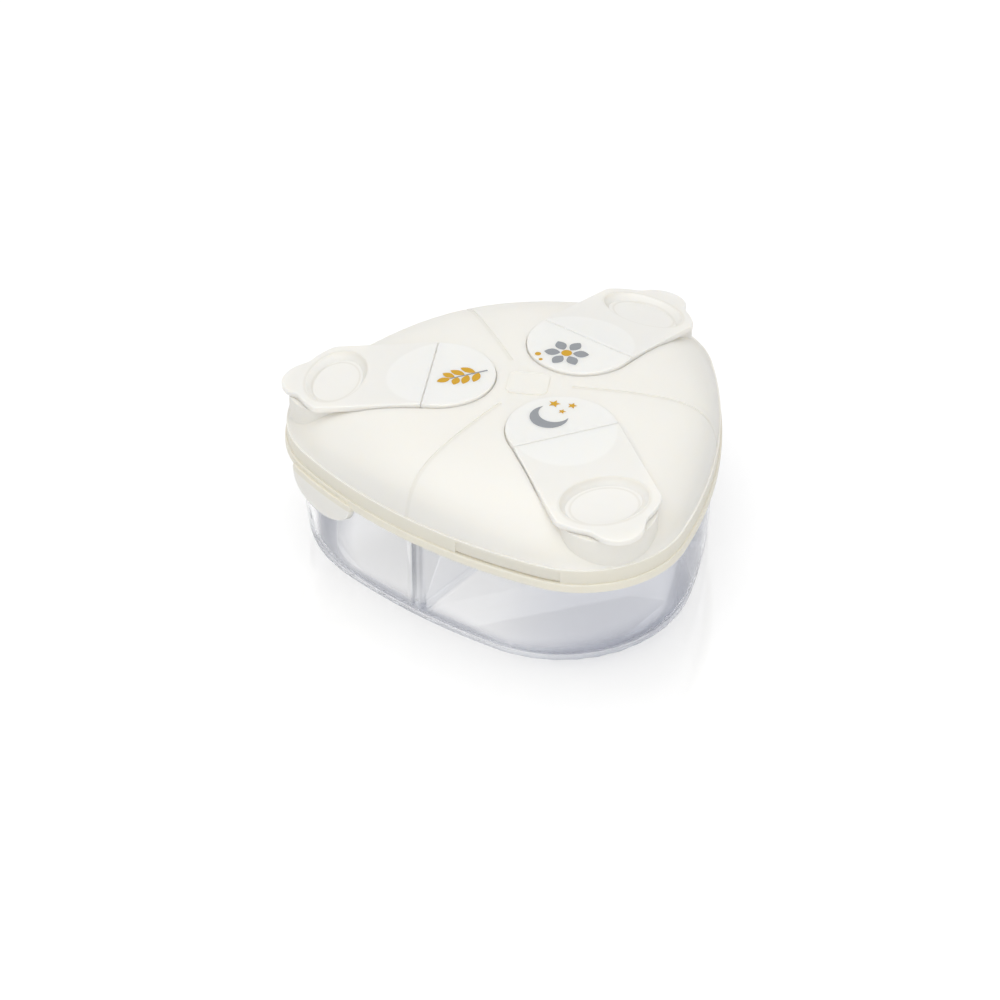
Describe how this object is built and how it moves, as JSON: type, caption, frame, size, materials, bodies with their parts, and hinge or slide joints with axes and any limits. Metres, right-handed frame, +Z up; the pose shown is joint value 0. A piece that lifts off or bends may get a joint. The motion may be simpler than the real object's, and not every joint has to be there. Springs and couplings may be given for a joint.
{
  "type": "milk powder container",
  "caption": "Rounded triangular milk powder container: clear tray with a lift-out divider under a domed lid, whose hinged flaps close pouring snouts.",
  "frame": {"origin": "centre of the tray's flat underside, on the three-fold axis", "axes": "+Z up; -Y towards the front corner, whose flap is named front; the right flap points towards +X and the left one towards -X"},
  "size_m": [0.135, 0.131, 0.0572],
  "materials": {
    "tray_clear": "clear, polished, faint cool tint",
    "divider_clear": "clear, polished",
    "lid_cream": "cream, satin, slightly translucent",
    "flap_milky": "milky white, satin, translucent"
  },
  "bodies": {
    "tray": {"base_tray": "tray_clear"},
    "divider": {"divider_insert": "divider_clear"},
    "lid": {"lid_shell": "lid_cream", "flap_anchor_front": "flap_milky", "flap_anchor_right": "flap_milky", "flap_anchor_left": "flap_milky"},
    "cover_front": {"flap_cover_front": "flap_milky"},
    "cover_right": {"flap_cover_right": "flap_milky"},
    "cover_left": {"flap_cover_left": "flap_milky"}
  },
  "joints": [
    {"name": "lid_lift", "type": "slide", "parent": "tray", "child": "lid", "axis": [0, 0, 1], "range_m": [0, 0.08]},
    {"name": "divider_lift", "type": "slide", "parent": "tray", "child": "divider", "axis": [0, 0, 1], "range_m": [0, 0.048]},
    {"name": "cover_front_hinge", "type": "hinge", "parent": "lid", "child": "cover_front", "pos_m": [0, -0.0292, 0.0572], "axis": [-1, 0, 0], "range_deg": [0, 115]},
    {"name": "cover_right_hinge", "type": "hinge", "parent": "lid", "child": "cover_right", "pos_m": [0.02529, 0.0146, 0.0572], "axis": [0.5, -0.866, 0], "range_deg": [0, 115]},
    {"name": "cover_left_hinge", "type": "hinge", "parent": "lid", "child": "cover_left", "pos_m": [-0.02529, 0.0146, 0.0572], "axis": [0.5, 0.866, 0], "range_deg": [0, 115]}
  ],
  "couplings": [
    {"joint": "divider_lift", "follows": "lid_lift", "ratio": 0.6}
  ]
}
